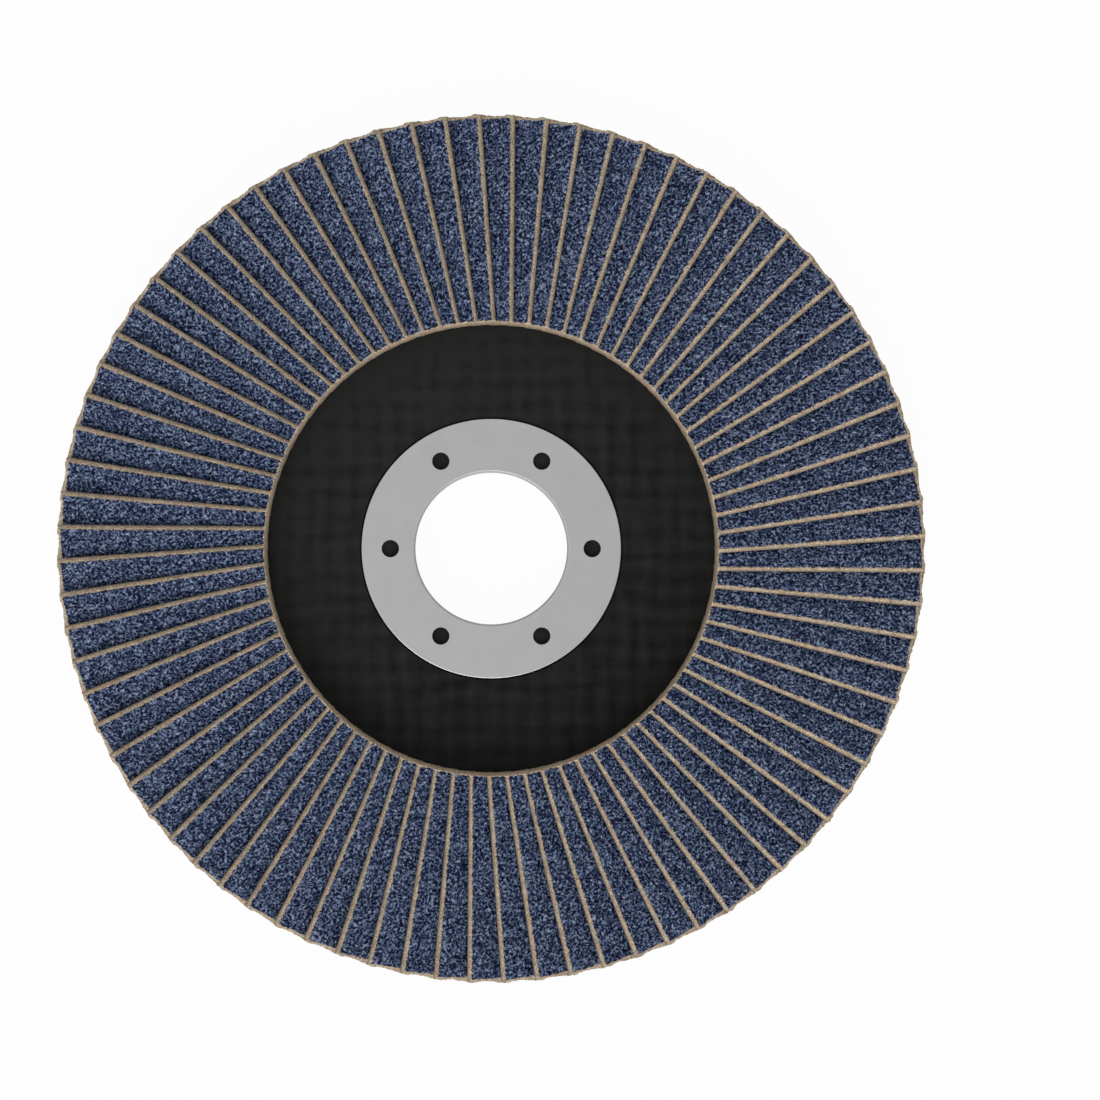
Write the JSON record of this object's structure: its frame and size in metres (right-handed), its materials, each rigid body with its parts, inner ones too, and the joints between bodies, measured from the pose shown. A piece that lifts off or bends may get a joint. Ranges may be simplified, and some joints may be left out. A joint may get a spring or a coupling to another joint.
{
  "type": "flap disc",
  "caption": "Round angle-grinder disc of overlapping abrasive cloth flaps, fanned around a black laminate backing plate with a steel arbor ring.",
  "frame": {"origin": "on the bore's axis at the back face of the hub, which the disc rests on", "axes": "+Z along the bore towards the abrasive side, +Y is up in the reference view, +X to its right"},
  "size_m": [0.125, 0.125, 0.0139],
  "materials": {
    "laminate": "satin black resin-bonded glass cloth",
    "ring_steel": "bright zinc-plated pressed steel",
    "resin": "cured dark epoxy",
    "coated_cloth": "blue abrasive grain on tan cloth"
  },
  "bodies": {
    "root": {"backing_plate": "laminate", "arbor_ring": "ring_steel", "adhesive_bed": "resin", "flaps_01_02": "coated_cloth", "flaps_03_04": "coated_cloth", "flaps_05_06": "coated_cloth", "flaps_07_08": "coated_cloth", "flaps_09_10": "coated_cloth", "flaps_11_12": "coated_cloth", "flaps_13_14": "coated_cloth", "flaps_15_16": "coated_cloth", "flaps_17_18": "coated_cloth", "flaps_19_20": "coated_cloth", "flaps_21_22": "coated_cloth", "flaps_23_24": "coated_cloth", "flaps_25_26": "coated_cloth", "flaps_27_28": "coated_cloth", "flaps_29_30": "coated_cloth", "flaps_31_32": "coated_cloth", "flaps_33_34": "coated_cloth", "flaps_35_36": "coated_cloth", "flaps_37_38": "coated_cloth", "flaps_39_40": "coated_cloth", "flaps_41_42": "coated_cloth", "flaps_43_44": "coated_cloth", "flaps_45_46": "coated_cloth", "flaps_47_48": "coated_cloth", "flaps_49_50": "coated_cloth", "flaps_51_52": "coated_cloth", "flaps_53_54": "coated_cloth", "flaps_55_56": "coated_cloth", "flaps_57_58": "coated_cloth", "flaps_59_60": "coated_cloth", "flaps_61_62": "coated_cloth", "flaps_63_64": "coated_cloth", "flaps_65_66": "coated_cloth", "flaps_67_68": "coated_cloth", "flaps_69_70": "coated_cloth", "flaps_71_72": "coated_cloth", "flaps_73_74": "coated_cloth", "flaps_75_76": "coated_cloth", "flaps_77_78": "coated_cloth", "flaps_79_80": "coated_cloth"}
  },
  "joints": []
}
